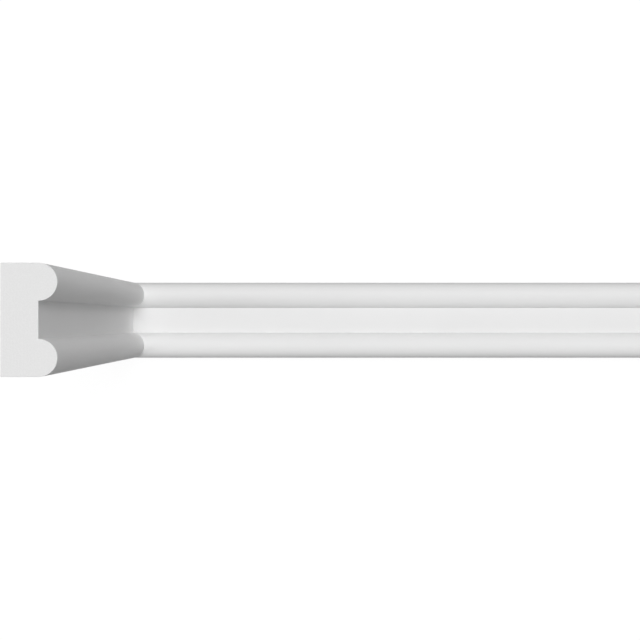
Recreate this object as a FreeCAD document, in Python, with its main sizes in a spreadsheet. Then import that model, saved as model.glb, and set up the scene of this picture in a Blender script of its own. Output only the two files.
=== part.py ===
"""Panel moulding made up into an inside corner.

The section is a plain flat band between two half-round beads, with a flat back
that is glued to the wall. The run, a full stock length, lies on its back along X, and
a short return of the same stock stands up at one end of it. Both are cut to the same
mitre, so that the beads and the band of one meet those of the other.
Millimetres, +Z up, origin at the middle of the run's back.
"""

import FreeCAD, Part
import os

import Sketcher
from FreeCAD import Vector

# Driving dimensions: the section first, then the lengths and the corner.
SIZES = {
    "bead_diameter": 10.0,  # width that each half-round bead takes on the face
    "flat_width": 10.0,  # plain band between the two beads
    "flat_thickness": 10.0,  # from the back to the plain band, where the beads spring
    "run_length": 2000.0,  # full stock length as sold, along its back
    "return_length": 200.0,  # short return, along its back
    "corner_angle": 90.0,  # degrees between the two walls
}
SHEET = "sizes"
FULL_THICKNESS = f"({SHEET}.flat_thickness + {SHEET}.bead_diameter / 2)"
HALF_CORNER = f"({SHEET}.corner_angle / 2 * 1 deg)"

START, END, CENTRE = 1, 2, 3  # point numbers on a line or an arc of a sketch
ORIGIN = (-1, 1)  # a sketch's own origin point


def add_sheet(doc):
    """Puts every driving dimension in a spreadsheet cell with its name as alias."""
    sheet = doc.addObject("Spreadsheet::Sheet", SHEET)
    for row, (name, value) in enumerate(SIZES.items(), start=1):
        sheet.set(f"A{row}", name)
        sheet.set(f"B{row}", str(value))
        sheet.setAlias(f"B{row}", name)
    doc.recompute()


def add_sketch(body, name, plane_role):
    """A sketch on one of the body's own origin planes."""
    sketch = body.newObject("Sketcher::SketchObject", name)
    planes = [f for f in body.Origin.OriginFeatures if f.Role == plane_role]
    sketch.AttachmentSupport = (planes[0], [""])
    sketch.MapMode = "FlatFace"
    return sketch


def drive(sketch, constraint, name, expression):
    """Adds a named dimension to a sketch and binds it to the sheet."""
    index = sketch.addConstraint(constraint)
    sketch.renameConstraint(index, name)
    sketch.setExpression(f"Constraints.{name}", expression)


def draw_section(sketch):
    """The moulding's section: across the face is horizontal, out from the wall is vertical."""
    radius = SIZES["bead_diameter"] / 2
    spring = SIZES["flat_thickness"]
    quirk = SIZES["flat_width"] / 2
    edge = quirk + SIZES["bead_diameter"]

    def line(x0, y0, x1, y1):
        return sketch.addGeometry(Part.LineSegment(Vector(x0, y0), Vector(x1, y1)))

    def half_round(x):
        crown = Vector(x, spring + radius)
        ends = Vector(x + radius, spring), Vector(x - radius, spring)
        return sketch.addGeometry(Part.Arc(ends[0], crown, ends[1]))

    back = line(-edge, 0, edge, 0)
    right_side = line(edge, 0, edge, spring)
    right_bead = half_round(quirk + radius)
    flat = line(quirk, spring, -quirk, spring)
    left_bead = half_round(-quirk - radius)
    left_side = line(-edge, spring, -edge, 0)

    sketch.addConstraint([
        Sketcher.Constraint("Coincident", back, END, right_side, START),
        Sketcher.Constraint("Tangent", right_side, END, right_bead, START),
        Sketcher.Constraint("Coincident", right_bead, END, flat, START),
        Sketcher.Constraint("Coincident", flat, END, left_bead, START),
        Sketcher.Constraint("Tangent", left_bead, END, left_side, START),
        Sketcher.Constraint("Coincident", left_side, END, back, START),
        Sketcher.Constraint("Horizontal", back),
        Sketcher.Constraint("Horizontal", flat),
        Sketcher.Constraint("Vertical", right_side),
        Sketcher.Constraint("Vertical", left_side),
        Sketcher.Constraint("PointOnObject", right_bead, CENTRE, flat),
        Sketcher.Constraint("PointOnObject", left_bead, CENTRE, flat),
        Sketcher.Constraint("Equal", right_bead, left_bead),
        Sketcher.Constraint("Symmetric", back, START, back, END, *ORIGIN),
    ])
    drive(sketch, Sketcher.Constraint("Diameter", right_bead, 2 * radius),
          "bead", f"{SHEET}.bead_diameter")
    drive(sketch, Sketcher.Constraint("DistanceX", flat, END, flat, START, 2 * quirk),
          "band", f"{SHEET}.flat_width")
    drive(sketch, Sketcher.Constraint("DistanceY", right_side, START, right_side, END, spring),
          "spring_line", f"{SHEET}.flat_thickness")


def draw_mitre(sketch):
    """A vee with its point on the back's end and one side along the mitre."""
    top = 2 * (SIZES["flat_thickness"] + SIZES["bead_diameter"] / 2)
    point, right, left = Vector(0, 0), Vector(top, top), Vector(-top, top)
    mitre = sketch.addGeometry(Part.LineSegment(point, right))
    lid = sketch.addGeometry(Part.LineSegment(right, left))
    waste = sketch.addGeometry(Part.LineSegment(left, point))
    sketch.addConstraint([
        Sketcher.Constraint("Coincident", mitre, END, lid, START),
        Sketcher.Constraint("Coincident", lid, END, waste, START),
        Sketcher.Constraint("Coincident", waste, END, mitre, START),
        Sketcher.Constraint("Coincident", mitre, START, *ORIGIN),
        Sketcher.Constraint("Horizontal", lid),
        Sketcher.Constraint("Perpendicular", mitre, waste),
    ])
    half_corner = FreeCAD.Units.Quantity(f"{SIZES['corner_angle'] / 2} deg")
    drive(sketch, Sketcher.Constraint("Angle", mitre, half_corner), "mitre", HALF_CORNER)
    drive(sketch, Sketcher.Constraint("DistanceY", mitre, START, mitre, END, top),
          "depth", f"2 * {FULL_THICKNESS}")


def mitred_length(doc, label, length_alias):
    """A length of the stock, back down along +X from the origin, mitred at the origin."""
    body = doc.addObject("PartDesign::Body", label)
    body.Label = label

    section = add_sketch(body, f"{label}_section", "YZ_Plane")
    draw_section(section)
    bar = body.newObject("PartDesign::Pad", f"{label}_bar")
    bar.Profile = section
    bar.setExpression("Length", f"{SHEET}.{length_alias}")
    doc.recompute()

    vee = add_sketch(body, f"{label}_vee", "XZ_Plane")
    draw_mitre(vee)
    mitre_cut = body.newObject("PartDesign::Pocket", f"{label}_mitre_cut")
    mitre_cut.Profile = vee
    mitre_cut.Type = "ThroughAll"
    mitre_cut.Midplane = True
    doc.recompute()
    if not mitre_cut.Shape.Volume < bar.Shape.Volume:
        raise RuntimeError(f"{label}: the mitre cut takes nothing off")
    return body


def lay_out(run, short_return):
    """Centres the run on the origin, and turns the return half round about the mitre's line."""
    corner = f"vector(-{SHEET}.run_length / 2; 0; 0)"
    mitre_line = f"vector(cos({HALF_CORNER}); 0; sin({HALF_CORNER}))"
    run.setExpression("Placement.Base.x", f"-{SHEET}.run_length / 2")
    short_return.setExpression("Placement", f"placement({corner}; rotation({mitre_line}; 180))")


def check(doc, bodies):
    """Stops if any object failed, or a piece isn't one valid solid."""
    failed = [o.Name for o in doc.Objects if {"Invalid", "Error"} & set(o.State)]
    if failed:
        raise RuntimeError(f"failed objects: {failed}")
    for body in bodies:
        shape = body.Shape
        if shape.isNull() or not shape.isValid() or len(shape.Solids) != 1:
            raise RuntimeError(f"{body.Label} isn't one valid solid")


def main():
    doc = FreeCAD.newDocument("panel_moulding")
    add_sheet(doc)
    run = mitred_length(doc, "moulding_run", "run_length")
    short_return = mitred_length(doc, "moulding_return", "return_length")
    lay_out(run, short_return)
    doc.recompute()
    bodies = [run, short_return]
    check(doc, bodies)

    os.makedirs("parts", exist_ok=True)
    for body in bodies:
        body.Shape.exportStep(f"parts/{body.Label}.step")
        box = body.Shape.BoundBox
        print(f"{body.Label}: {body.Shape.Volume:.1f} mm3, "
              f"x {box.XMin:.2f}..{box.XMax:.2f}, y {box.YMin:.2f}..{box.YMax:.2f}, "
              f"z {box.ZMin:.2f}..{box.ZMax:.2f}")


main()
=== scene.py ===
"""Looks, light and camera of a white panel moulding made up into an inside corner.

One bar of stock is moulded: a slab with two half-round beads. The long run and the short
return are sawn from copies of it, mitred, laid where the CAD nodes are, and dressed.
Metres, +Z up, in the frame of the CAD model.
"""

import logging
import math
from collections.abc import Callable, Mapping
from dataclasses import dataclass
from enum import Enum
from typing import Union

import bmesh
import bpy
from mathutils import Matrix, Vector


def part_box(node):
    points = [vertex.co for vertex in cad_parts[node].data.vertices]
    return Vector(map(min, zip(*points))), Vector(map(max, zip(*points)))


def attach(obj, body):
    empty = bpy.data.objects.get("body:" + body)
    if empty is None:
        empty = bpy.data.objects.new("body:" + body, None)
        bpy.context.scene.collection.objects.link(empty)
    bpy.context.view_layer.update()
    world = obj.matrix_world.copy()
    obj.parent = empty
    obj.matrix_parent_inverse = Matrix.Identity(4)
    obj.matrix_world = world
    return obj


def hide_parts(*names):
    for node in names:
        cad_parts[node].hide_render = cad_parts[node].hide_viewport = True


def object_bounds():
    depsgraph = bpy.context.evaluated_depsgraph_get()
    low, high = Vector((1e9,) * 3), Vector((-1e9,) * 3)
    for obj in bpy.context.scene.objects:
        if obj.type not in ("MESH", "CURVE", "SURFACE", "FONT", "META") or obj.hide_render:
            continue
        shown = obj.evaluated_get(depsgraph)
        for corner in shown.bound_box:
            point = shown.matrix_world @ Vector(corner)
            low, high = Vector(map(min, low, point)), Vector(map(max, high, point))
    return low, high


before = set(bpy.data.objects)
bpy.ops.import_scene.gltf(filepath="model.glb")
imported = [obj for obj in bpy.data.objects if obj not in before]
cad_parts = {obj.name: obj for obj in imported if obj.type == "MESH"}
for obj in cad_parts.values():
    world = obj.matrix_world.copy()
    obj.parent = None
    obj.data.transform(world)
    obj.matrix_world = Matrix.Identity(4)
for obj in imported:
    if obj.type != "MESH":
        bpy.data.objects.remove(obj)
CAD_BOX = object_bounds()

log = logging.getLogger("panel_moulding")

MILLIMETRE = 0.001
BODY = "root"
BAKE_MAP = "OFBake"

ALONG = Vector((1, 0, 0))  # the way that the stock lies while it is worked
PARALLEL = 0.999  # least cosine between two directions that count as one
TILTED = 0.01  # least part along the stock in the normal of a face that cuts across it
SHARP = 1.0  # least angle between the faces of an arris, in radians
ROUND = 0.5  # profile of a bevel that is an arc
MERGE_DISTANCE = 0.01 * MILLIMETRE

WHITE = (1.0, 1.0, 1.0, 1.0)
NOISE_MEAN = 0.5
MIX_SHARE, MIX_FIRST, MIX_SECOND, MIX_RESULT = 0, 6, 7, 2  # colour sockets of a Mix node

Colour = tuple[float, float, float]
Element = Union[bmesh.types.BMFace, bmesh.types.BMEdge]
Operand = Union["Signal", float]


class Surface(Enum):
    """The surfaces of a length, numbered as its material slots."""

    SKIN = 0
    SAWN = 1


class Saw(Enum):
    """The ways that the saw stands to the bar, as degrees from its length."""

    SQUARE = 90.0
    MITRE = 45.0


class Pick(Enum):
    """What is picked on the bench, named as Blender's select modes."""

    FACES = "FACE"
    EDGES = "EDGE"


class Signal:
    """An output of a shader node that takes part in Python expressions."""

    def __init__(self, tree: "ShaderTree", socket: bpy.types.NodeSocket) -> None:
        """Wraps one output socket."""
        self.tree = tree
        self.socket = socket

    def _math(self, operation: str, *operands: Operand) -> "Signal":
        """Adds a Math node.

        Args:
            operation: the Math node's operation.
            *operands: its inputs in order, numbers or signals.

        Returns:
            The node's result.
        """
        settings = {"operation": operation}
        return self.tree.node("ShaderNodeMath", settings, dict(enumerate(operands)))

    def __add__(self, other: Operand) -> "Signal":
        """Sum with a signal or a number."""
        return self._math("ADD", self, other)

    __radd__ = __add__

    def __sub__(self, other: Operand) -> "Signal":
        """Difference, this one less the other."""
        return self._math("SUBTRACT", self, other)

    def __rsub__(self, other: Operand) -> "Signal":
        """Difference, the other less this one."""
        return self._math("SUBTRACT", other, self)

    def __mul__(self, other: Operand) -> "Signal":
        """Product with a signal or a number."""
        return self._math("MULTIPLY", self, other)

    __rmul__ = __mul__

    def sine(self) -> "Signal":
        """Sine of this signal, in radians."""
        return self._math("SINE", self)

    def at_least(self, floor: Operand) -> "Signal":
        """The greater of this signal and a floor."""
        return self._math("MAXIMUM", self, floor)


class ShaderTree:
    """The node tree of a material or a world, filled from code."""

    def __init__(self, owner: Union[bpy.types.Material, bpy.types.World]) -> None:
        """Empties the owner's tree and gives it an output.

        Args:
            owner: the material or the world.
        """
        owner.use_nodes = True
        self.nodes = owner.node_tree.nodes
        self.links = owner.node_tree.links
        self.nodes.clear()
        is_world = isinstance(owner, bpy.types.World)
        self.end = self.nodes.new("ShaderNodeOutputWorld" if is_world else "ShaderNodeOutputMaterial")

    def node(
        self,
        kind: str,
        settings: Mapping[str, object] | None = None,
        inputs: Mapping[str | int, object] | None = None,
        output: str | int = 0,
    ) -> Signal:
        """Adds a node.

        Args:
            kind: the node's type.
            settings: its properties, which are set first.
            inputs: the values or signals of its sockets, by name or number.
            output: the socket that is handed back.

        Returns:
            That output.
        """
        node = self.nodes.new(kind)
        for name, value in (settings or {}).items():
            setattr(node, name, value)
        for name, value in (inputs or {}).items():
            if isinstance(value, Signal):
                self.links.new(value.socket, node.inputs[name])
            else:
                node.inputs[name].default_value = value
        return Signal(self, node.outputs[output])

    def place(self) -> Signal:
        """Object coordinates, in metres in the frame of the CAD model."""
        return self.node("ShaderNodeTexCoord", output="Object")

    def axes(self, vector: Signal) -> tuple[Signal, Signal, Signal]:
        """Splits a vector.

        Args:
            vector: the vector's signal.

        Returns:
            Its x, y and z.
        """
        split = self.node("ShaderNodeSeparateXYZ", inputs={"Vector": vector})
        x, y, z = (Signal(self, socket) for socket in split.socket.node.outputs)
        return x, y, z

    def noise(self, vector: Signal, grain: float, detail: float) -> Signal:
        """Noise about its mean.

        Args:
            vector: where it is read, in metres.
            grain: size of its grain, in metres.
            detail: octaves of finer grain.

        Returns:
            A value from about -0.5 to 0.5.
        """
        inputs = {"Vector": vector, "Scale": 1 / grain, "Detail": detail}
        return self.node("ShaderNodeTexNoise", inputs=inputs) - NOISE_MEAN

    def blend(self, share: Signal, first: Colour, second: Colour) -> Signal:
        """Mixes two colours.

        Args:
            share: how much of the second colour shows, from 0 to 1.
            first: the first colour.
            second: the second colour.

        Returns:
            The mixed colour.
        """
        inputs = {MIX_SHARE: share, MIX_FIRST: (*first, 1.0), MIX_SECOND: (*second, 1.0)}
        return self.node("ShaderNodeMix", {"data_type": "RGBA"}, inputs, output=MIX_RESULT)

    def relief(self, height: Signal) -> Signal:
        """Normal of a fine relief.

        Args:
            height: the relief's height, in metres.

        Returns:
            The bent normal.
        """
        return self.node("ShaderNodeBump", inputs={"Height": height, "Strength": 1.0, "Distance": 1.0})

    def seen(self) -> Signal:
        """Tells the rays that see from those that carry light.

        Returns:
            One for rays from the camera, mirrors and glass, and nothing for the rest.
        """
        path = self.node("ShaderNodeLightPath").socket.node
        camera, glossy, through = (
            Signal(self, path.outputs[name])
            for name in ("Is Camera Ray", "Is Glossy Ray", "Is Transmission Ray")
        )
        return camera.at_least(glossy).at_least(through)

    def finish(self, surface: Signal) -> None:
        """Links a shader to the tree's output."""
        self.links.new(surface.socket, self.end.inputs["Surface"])


@dataclass(frozen=True)
class PrimedSkin:
    """Matt white primer on the moulded faces: faint clouds, and the peel of a sprayed coat.

    Attributes:
        colour: where the coat is thick.
        thin_colour: where the coat is thin.
        cloud: size of the thick and thin places.
        peel: size of the coat's dimples.
        peel_height: height of the coat's dimples.
        grit: size of the dust in the coat.
        grit_height: height of the dust in the coat.
        roughness: on average.
        cloud_roughness: its change from thick to thin.
        grit_roughness: its change over the dust.
        shine: specular level.
    """

    colour: Colour = (0.86, 0.86, 0.86)
    thin_colour: Colour = (0.835, 0.835, 0.835)
    cloud: float = 45 * MILLIMETRE
    peel: float = 1.3 * MILLIMETRE
    peel_height: float = 0.02 * MILLIMETRE
    grit: float = 0.3 * MILLIMETRE
    grit_height: float = 0.002 * MILLIMETRE
    roughness: float = 0.62
    cloud_roughness: float = 0.16
    grit_roughness: float = 0.06
    shine: float = 0.3

    def material(self) -> bpy.types.Material:
        """Mixes the primer.

        Returns:
            The primer as a material.
        """
        material = bpy.data.materials.new("primed_skin")
        tree = ShaderTree(material)
        place = tree.place()
        cloud = tree.noise(place, self.cloud, detail=3.0)
        peel = tree.noise(place, self.peel, detail=1.0)
        grit = tree.noise(place, self.grit, detail=2.0)
        inputs = {
            "Base Color": tree.blend(cloud + NOISE_MEAN, self.colour, self.thin_colour),
            "Roughness": self.roughness + self.cloud_roughness * cloud + self.grit_roughness * grit,
            "Specular IOR Level": self.shine,
            "Normal": tree.relief(self.peel_height * peel + self.grit_height * grit),
        }
        tree.finish(tree.node("ShaderNodeBsdfPrincipled", inputs=inputs))
        return material


@dataclass(frozen=True)
class SawnFoam:
    """The sawn core: white foam with closed cells, and the faint lines of the saw across it.

    Attributes:
        colour: of the walls between the cells.
        cell_colour: in the middle of a cell.
        cell: size of a cell.
        cell_depth: depth of a cell that the saw opened.
        saw_pitch: distance between the saw's lines.
        saw_depth: half the depth of the saw's lines.
        wander: size of the waves in the saw's lines.
        roughness: on average.
        wander_roughness: its change over the waves.
        shine: specular level.
    """

    colour: Colour = (0.86, 0.86, 0.86)
    cell_colour: Colour = (0.82, 0.82, 0.82)
    cell: float = 0.45 * MILLIMETRE
    cell_depth: float = 0.012 * MILLIMETRE
    saw_pitch: float = 0.9 * MILLIMETRE
    saw_depth: float = 0.002 * MILLIMETRE
    wander: float = 6 * MILLIMETRE
    roughness: float = 0.85
    wander_roughness: float = 0.1
    shine: float = 0.2

    def material(self) -> bpy.types.Material:
        """Mixes the foam.

        Returns:
            The sawn foam as a material.
        """
        material = bpy.data.materials.new("sawn_foam")
        tree = ShaderTree(material)
        place = tree.place()
        x, _, z = tree.axes(place)
        wander = tree.noise(place, self.wander, detail=1.0)
        turns = (x + z) * (1 / self.saw_pitch) + wander
        lines = (turns * math.tau).sine()
        cells = tree.node("ShaderNodeTexVoronoi", inputs={"Vector": place, "Scale": 1 / self.cell})
        inputs = {
            "Base Color": tree.blend(1 - cells, self.colour, self.cell_colour),
            "Roughness": self.roughness + self.wander_roughness * wander,
            "Specular IOR Level": self.shine,
            "Normal": tree.relief(self.cell_depth * cells + self.saw_depth * lines),
        }
        tree.finish(tree.node("ShaderNodeBsdfPrincipled", inputs=inputs))
        return material


@dataclass(frozen=True)
class PaleFloor:
    """A matt floor that the camera sees as white, with the object's shadow on it.

    Attributes:
        colour: for the rays that carry light, deep enough to leave the object's sides in shade.
        whiteness: what the camera sees where no light falls.
        shadow_share: how much of the light the camera sees on top, as a share of the colour.
    """

    colour: Colour = (0.06, 0.06, 0.06)
    whiteness: float = 0.94
    shadow_share: float = 1.6

    def material(self) -> bpy.types.Material:
        """Mixes the floor's paint.

        Returns:
            The floor as a material.
        """
        material = bpy.data.materials.new("pale_floor")
        tree = ShaderTree(material)
        paint = tree.node("ShaderNodeBsdfDiffuse", inputs={"Color": (*self.colour, 1.0)})
        glow = tree.node("ShaderNodeEmission", inputs={"Strength": self.whiteness})
        shade_colour = tuple(self.shadow_share * part for part in self.colour)
        shade = tree.node("ShaderNodeBsdfDiffuse", inputs={"Color": (*shade_colour, 1.0)})
        white = tree.node("ShaderNodeAddShader", inputs={0: glow, 1: shade})
        tree.finish(tree.node("ShaderNodeMixShader", inputs={0: tree.seen(), 1: paint, 2: white}))
        return material


class Bench:
    """Edit mode on one piece, with faces and edges picked by place or normal."""

    def __init__(self, piece: bpy.types.Object) -> None:
        """Takes the piece to work on."""
        self.piece = piece

    def __enter__(self) -> "Bench":
        """Opens edit mode with everything in the piece selected.

        Returns:
            The bench.
        """
        bpy.ops.object.select_all(action="DESELECT")
        self.piece.select_set(True)
        bpy.context.view_layer.objects.active = self.piece
        bpy.ops.object.mode_set(mode="EDIT")
        bpy.ops.mesh.select_all(action="SELECT")
        return self

    def __exit__(self, *problem: object) -> None:
        """Goes back to object mode."""
        bpy.ops.object.mode_set(mode="OBJECT")

    def pick(self, kind: Pick, wanted: Callable[[Element], bool]) -> None:
        """Selects what passes a test, and nothing else.

        Args:
            kind: faces or edges.
            wanted: the test.
        """
        bpy.ops.mesh.select_mode(type=kind.value)
        bpy.ops.mesh.select_all(action="DESELECT")
        mesh = bmesh.from_edit_mesh(self.piece.data)
        for element in filter(wanted, mesh.faces if kind is Pick.FACES else mesh.edges):
            element.select_set(True)
        bmesh.update_edit_mesh(self.piece.data)

    def saw(self, point: Vector, waste_side: Vector) -> None:
        """Cuts the whole piece and closes the cut.

        Args:
            point: a point on the cut.
            waste_side: the cut's normal, towards the waste.
        """
        bpy.ops.mesh.select_all(action="SELECT")
        bpy.ops.mesh.bisect(plane_co=point, plane_no=waste_side, use_fill=True, clear_outer=True)


@dataclass
class MouldingStock:
    """A bar of the moulding, back down along +X, from a little before the origin.

    Attributes:
        width: across the face.
        thickness: from the back to the top of the beads.
        length: the longest length that is sawn from the bar.
        bead_diameter: of each half-round bead.
        trim: waste at each end of the bar.
        arc_segments: facets in a quarter of a bead.
        station: distance between the mesh's rings along the bar.
    """

    width: float
    thickness: float
    length: float
    bead_diameter: float = 10 * MILLIMETRE
    trim: float = 20 * MILLIMETRE
    arc_segments: int = 24
    station: float = 50 * MILLIMETRE

    @property
    def spring(self) -> float:
        """Height at which the beads spring from the plain band."""
        return self.thickness - self.bead_diameter / 2

    @property
    def quirk(self) -> float:
        """Distance from the middle of the face to the foot of a bead."""
        return self.width / 2 - self.bead_diameter

    def mould(self) -> bpy.types.Object:
        """Makes the bar.

        Returns:
            The bar's object, at the origin and unscaled.
        """
        bar = self._slab()
        self._raise_ribs(bar)
        self._round_ribs(bar)
        return bar

    def _slab(self) -> bpy.types.Object:
        """Makes the slab up to the plain band, with its rings along the length.

        Returns:
            The slab.
        """
        overall = self.length + 2 * self.trim
        bpy.ops.object.select_all(action="DESELECT")
        bpy.ops.mesh.primitive_cube_add(
            size=1,
            location=(self.length / 2, 0, self.spring / 2),
            scale=(overall, self.width, self.spring),
        )
        bar = bpy.context.active_object
        bpy.ops.object.transform_apply(location=True, rotation=True, scale=True)
        with Bench(bar) as bench:
            bench.pick(Pick.EDGES, _runs_along)
            bpy.ops.mesh.subdivide(number_cuts=round(overall / self.station) - 1)
        return bar

    def _raise_ribs(self, bar: bpy.types.Object) -> None:
        """Cuts the face into three bands and raises the outer two as square ribs.

        Args:
            bar: the slab.
        """
        with Bench(bar) as bench:
            for side in (-1, 1):
                bpy.ops.mesh.select_all(action="SELECT")
                bpy.ops.mesh.bisect(plane_co=(0, side * self.quirk, 0), plane_no=(0, 1, 0))
            bench.pick(
                Pick.FACES,
                lambda face: face.normal.z > PARALLEL and abs(face.calc_center_median().y) > self.quirk,
            )
            rise = (0, 0, self.bead_diameter / 2)
            bpy.ops.mesh.extrude_region_move(TRANSFORM_OT_translate={"value": rise})

    def _round_ribs(self, bar: bpy.types.Object) -> None:
        """Rounds both arrises of each rib until they meet in a half-round bead.

        Args:
            bar: the slab with its ribs.
        """
        radius = self.bead_diameter / 2
        level = self.thickness - radius / 2
        with Bench(bar) as bench:
            bench.pick(Pick.EDGES, lambda edge: _runs_along(edge) and edge.verts[0].co.z > level)
            bpy.ops.mesh.bevel(offset=radius, segments=self.arc_segments, profile=ROUND, affect="EDGES")
            bpy.ops.mesh.select_all(action="SELECT")
            bpy.ops.mesh.remove_doubles(threshold=MERGE_DISTANCE)


@dataclass
class MitredLength:
    """A length sawn from the stock, with one mitred end, laid where its CAD node is.

    Attributes:
        name: the piece's name.
        node: the CAD node that it stands for.
        length: along its back, from the point of the mitre.
        lay: from the bar's place, back down along +X from the origin, to the node's place.
        arris: width of the eased arrises.
        arris_segments: facets across an eased arris.
        smooth_angle: largest angle between facets that are shaded as one, in degrees.
        strip: longest strip that the surface is unrolled in.
        margin: room between the strips, as a share of the map.
    """

    name: str
    node: str
    length: float
    lay: Matrix
    arris: float = 0.15 * MILLIMETRE
    arris_segments: int = 2
    smooth_angle: float = 15.0
    strip: float = 500 * MILLIMETRE
    margin: float = 0.004

    def build(self, bar: bpy.types.Object, skin: bpy.types.Material, sawn: bpy.types.Material) -> None:
        """Saws, lays and dresses the length.

        Args:
            bar: the stock, which stays whole.
            skin: finish of the moulded faces.
            sawn: finish of the cut faces.
        """
        piece = self._take_from(bar)
        self._saw_end(piece, Vector((0, 0, 0)), Saw.MITRE)
        self._saw_end(piece, Vector((self.length, 0, 0)), Saw.SQUARE)
        self._ease_arrises(piece)
        self._dress(piece, skin, sawn)
        self._unroll(piece)
        self._lay_down(piece)
        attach(piece, BODY)
        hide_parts(self.node)
        log.info("%s: %d faces, stands for %s", piece.name, len(piece.data.polygons), self.node)

    def _take_from(self, bar: bpy.types.Object) -> bpy.types.Object:
        """Copies the bar.

        Args:
            bar: the stock.

        Returns:
            A copy with its own mesh.
        """
        bpy.ops.object.select_all(action="DESELECT")
        bar.select_set(True)
        bpy.context.view_layer.objects.active = bar
        bpy.ops.object.duplicate(linked=False)
        piece = bpy.context.active_object
        piece.name = self.name
        piece.data.name = self.name
        return piece

    def _saw_end(self, piece: bpy.types.Object, point: Vector, saw: Saw) -> None:
        """Saws one end.

        Args:
            piece: the length so far.
            point: where the cut meets the back.
            saw: how the saw stands; a mitre takes its waste off the start of the bar.
        """
        angle = math.radians(saw.value)
        towards_end = Vector((math.sin(angle), 0, -math.cos(angle)))
        waste_side = towards_end if saw is Saw.SQUARE else -towards_end
        with Bench(piece) as bench:
            bench.saw(point, waste_side)

    def _ease_arrises(self, piece: bpy.types.Object) -> None:
        """Takes the sharpness off the long back edges and the square end.

        Args:
            piece: the sawn length.
        """
        end = self.length - self.arris / 2

        def is_arris(edge: bmesh.types.BMEdge) -> bool:
            """Finds the edges round the square end, and the two along the back.

            Args:
                edge: an edge of the sawn length.

            Returns:
                Whether it is one of them.
            """
            if all(v.co.x > end for v in edge.verts):
                return True
            on_back = max(v.co.z for v in edge.verts) < self.arris
            return on_back and _runs_along(edge) and edge.calc_face_angle(0) > SHARP

        with Bench(piece) as bench:
            bench.pick(Pick.EDGES, is_arris)
            bpy.ops.mesh.bevel(
                offset=self.arris, segments=self.arris_segments, profile=ROUND, affect="EDGES"
            )

    def _dress(
        self, piece: bpy.types.Object, skin: bpy.types.Material, sawn: bpy.types.Material
    ) -> None:
        """Gives the moulded faces and the cut faces their finishes, and smooths the beads.

        Args:
            piece: the sawn length, which is the active object.
            skin: finish of the moulded faces.
            sawn: finish of the cut faces.
        """
        for material in (skin, sawn):
            piece.data.materials.append(material)
        mitre = Vector((-1, 0, 1)).normalized()
        for face in piece.data.polygons:
            is_cut = face.normal.dot(ALONG) > PARALLEL or face.normal.dot(mitre) > PARALLEL
            face.material_index = (Surface.SAWN if is_cut else Surface.SKIN).value
        bpy.ops.object.shade_smooth_by_angle(angle=math.radians(self.smooth_angle))

    def _unroll(self, piece: bpy.types.Object) -> None:
        """Unrolls the surface in strips, so that a bake spends its pixels evenly on it.

        Args:
            piece: the dressed length.
        """
        piece.data.uv_layers[0].name = BAKE_MAP
        strips = math.ceil(self.length / self.strip)
        outermost = min(v.co.y for v in piece.data.vertices) + 2 * self.arris
        back_level = self.arris / 10

        def is_seam(edge: bmesh.types.BMEdge) -> bool:
            """Finds the edges round the ends, and those along one side of the back.

            Args:
                edge: an edge of the dressed length.

            Returns:
                Whether it is one of them.
            """
            if len({abs(face.normal.x) > TILTED for face in edge.link_faces}) > 1:
                return True
            return all(v.co.y < outermost and v.co.z < back_level for v in edge.verts)

        with Bench(piece) as bench:
            for number in range(1, strips):
                bpy.ops.mesh.select_all(action="SELECT")
                ring = (number * self.length / strips, 0, 0)
                bpy.ops.mesh.bisect(plane_co=ring, plane_no=ALONG)
                bpy.ops.mesh.mark_seam()
            bench.pick(Pick.EDGES, is_seam)
            bpy.ops.mesh.mark_seam()
            bpy.ops.mesh.select_all(action="SELECT")
            bpy.ops.uv.unwrap(method="CONFORMAL", margin_method="FRACTION", margin=self.margin)

    def _lay_down(self, piece: bpy.types.Object) -> None:
        """Moves the length to its node's place and leaves its object at the origin."""
        piece.matrix_world = self.lay
        bpy.ops.object.transform_apply(location=True, rotation=True, scale=True)


@dataclass
class InsideCorner:
    """The made-up corner: a long run on the floor and a short return standing at its end.

    Attributes:
        run_node: the run's CAD node.
        return_node: the return's CAD node.
    """

    run_node: str = "moulding_run"
    return_node: str = "moulding_return"

    def build(self) -> None:
        """Moulds the stock, saws both lengths from it and clears it away."""
        low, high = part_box(self.run_node)
        return_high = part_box(self.return_node)[1]
        corner = Matrix.Translation((low.x, 0, low.z))
        half_turn = Matrix.Rotation(math.pi, 4, Vector((1, 0, 1)))
        stock = MouldingStock(high.y - low.y, high.z - low.z, high.x - low.x)
        bar = stock.mould()
        skin = PrimedSkin().material()
        sawn = SawnFoam().material()
        lengths = (
            MitredLength("primed_run", self.run_node, high.x - low.x, corner),
            MitredLength("primed_return", self.return_node, return_high.z - low.z, corner @ half_turn),
        )
        for length in lengths:
            length.build(bar, skin, sawn)
        bpy.data.objects.remove(bar)


@dataclass(frozen=True)
class SoftLamp:
    """A lamp far away behind a round diffuser.

    Attributes:
        name: the lamp's name.
        strength: watts per square metre on a face turned to it.
        width: how wide the diffuser looks from the object, in degrees.
        lean: from straight above, in degrees.
        turn: the way it leans, in degrees from +X towards +Y.
    """

    name: str
    strength: float
    width: float
    lean: float
    turn: float

    def place(self) -> None:
        """Adds the lamp, turned to the object."""
        lean, turn = math.radians(self.lean), math.radians(self.turn)
        bpy.ops.object.light_add(type="SUN", rotation=(0, lean, turn))
        lamp = bpy.context.active_object
        lamp.name = self.name
        lamp.data.energy = self.strength
        lamp.data.angle = math.radians(self.width)
        log.info("%s: %.0f degrees from straight above", self.name, self.lean)


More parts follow.
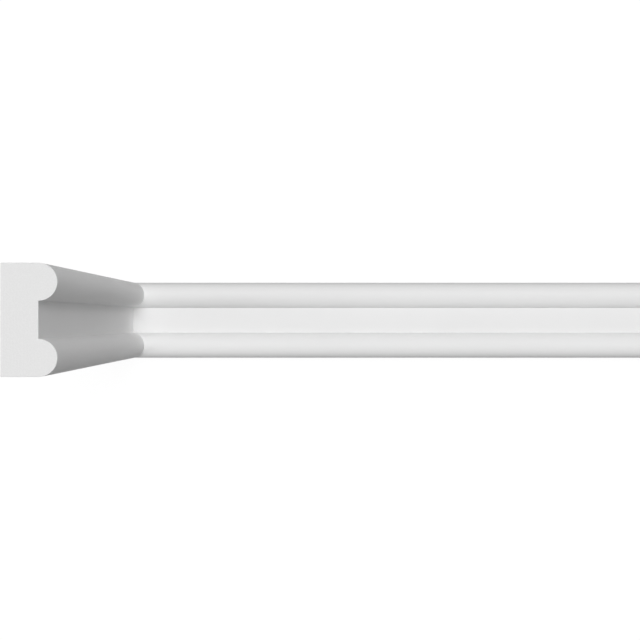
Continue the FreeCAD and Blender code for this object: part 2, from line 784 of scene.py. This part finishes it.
@dataclass
class Studio:
    """Floor and light.

    Attributes:
        floor_size: side of the square floor.
        floor_gap: how far the floor lies under the object.
        tent: light from the whole sky.
        lamps: a key lamp above the corner, and two low ones on opposite sides.
    """

    floor_size: float = 30.0
    floor_gap: float = 0.1 * MILLIMETRE
    tent: float = 0.318
    lamps: tuple[SoftLamp, ...] = (
        SoftLamp("key_lamp", strength=1.77, width=20, lean=12, turn=54),
        SoftLamp("low_front_lamp", strength=0.37, width=20, lean=83, turn=45),
        SoftLamp("low_back_lamp", strength=0.9, width=20, lean=83, turn=200),
    )

    def build(self) -> None:
        """Lays the floor and sets the light."""
        self._floor()
        self._tent()
        for lamp in self.lamps:
            lamp.place()

    def _floor(self) -> None:
        """Lays a plain floor under the object."""
        bpy.ops.object.select_all(action="DESELECT")
        level = CAD_BOX[0].z - self.floor_gap
        bpy.ops.mesh.primitive_plane_add(size=self.floor_size, location=(0, 0, level))
        floor = bpy.context.active_object
        floor.name = "floor"
        floor.data.materials.append(PaleFloor().material())
        log.info("floor: %.0f m wide", self.floor_size)

    def _tent(self) -> None:
        """Sets an even light from the whole sky, which the camera sees as white."""
        world = bpy.data.worlds.new("light_tent")
        bpy.context.scene.world = world
        tree = ShaderTree(world)
        light = tree.node("ShaderNodeBackground", inputs={"Color": WHITE, "Strength": self.tent})
        sky = tree.node("ShaderNodeBackground", inputs={"Color": WHITE, "Strength": 1.0})
        tree.finish(tree.node("ShaderNodeMixShader", inputs={0: tree.seen(), 1: light, 2: sky}))


@dataclass
class PhotoCamera:
    """The photograph's view, straight down on the run from beside the return.

    Attributes:
        lens: focal length in millimetres, on a sensor 36 mm wide.
        height: above the run's back.
        from_return: from the return's back to the lens.
        aside: from the middle of the face, towards -Y.
        shift: shift of the frame to the right and up, as shares of its width.
        near: nearest distance that the camera sees.
    """

    lens: float = 77.4
    height: float = 560.9 * MILLIMETRE
    from_return: float = 82.2 * MILLIMETRE
    aside: float = 0.3 * MILLIMETRE
    shift: tuple[float, float] = (0.01, 0.0015)
    near: float = 10 * MILLIMETRE

    def place(self) -> None:
        """Adds the camera and makes it the scene's own."""
        low = CAD_BOX[0]
        place = (low.x + self.from_return, -self.aside, low.z + self.height)
        bpy.ops.object.camera_add(location=place)
        camera = bpy.context.active_object
        camera.name = "photo_camera"
        camera.data.lens = self.lens
        camera.data.shift_x, camera.data.shift_y = self.shift
        camera.data.clip_start = self.near
        bpy.context.scene.camera = camera
        log.info("photo_camera: %.1f mm lens", self.lens)


def _runs_along(edge: bmesh.types.BMEdge) -> bool:
    """Whether an edge runs along the stock."""
    return abs((edge.verts[1].co - edge.verts[0].co).normalized().dot(ALONG)) > PARALLEL


def main() -> None:
    """Builds the corner, then the studio round it."""
    logging.basicConfig(level=logging.INFO, format="%(name)s: %(message)s")
    bpy.context.scene.view_settings.view_transform = "Standard"
    InsideCorner().build()
    Studio().build()
    PhotoCamera().place()


if __name__ == "__main__":
    main()
